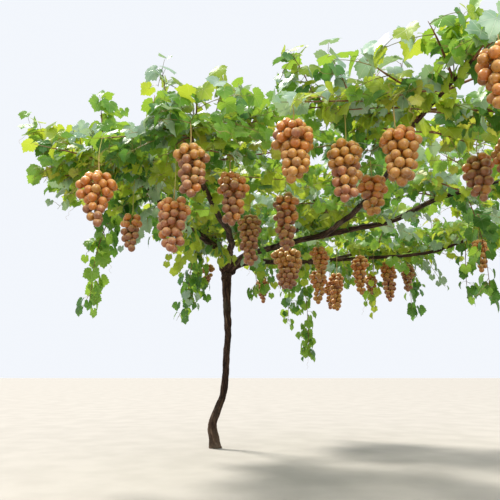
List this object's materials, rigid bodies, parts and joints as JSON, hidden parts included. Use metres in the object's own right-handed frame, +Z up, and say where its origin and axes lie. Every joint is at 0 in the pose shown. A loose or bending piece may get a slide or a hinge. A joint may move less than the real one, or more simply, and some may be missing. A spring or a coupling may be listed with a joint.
{
  "type": "fruiting grapevine trained flat overhead",
  "caption": "Rooted grapevine with one leaning trunk, arms that spread flat overhead, leafy canes and long hanging bunches of bronze grapes.",
  "frame": {"origin": "middle of the flat cut under the trunk, at ground level", "axes": "+Z up, +X to the right in the picture, +Y away from the viewer; the canopy runs from the trunk towards the viewer and to the right"},
  "size_m": [4.2658, 4.6857, 2.2765],
  "materials": {
    "bark": "dark, fibrous, stringy bark",
    "foliage": "lobed leaves, yellow-green to mid green, with satin bronze berries"
  },
  "bodies": {
    "root": {"trunk": "bark", "arm_left": "bark", "arm_front": "bark", "arm_right": "bark", "arm_back": "bark", "arm_rear": "bark", "spur_left": "bark", "spur_middle": "bark", "bough_front": "bark", "bough_back": "bark", "foliage_front_left": "foliage", "foliage_front_middle": "foliage", "foliage_front_right": "foliage", "foliage_middle_left": "foliage", "foliage_middle": "foliage", "foliage_middle_right": "foliage", "foliage_back_left": "foliage", "foliage_back_middle": "foliage", "foliage_back_right": "foliage"}
  },
  "joints": []
}
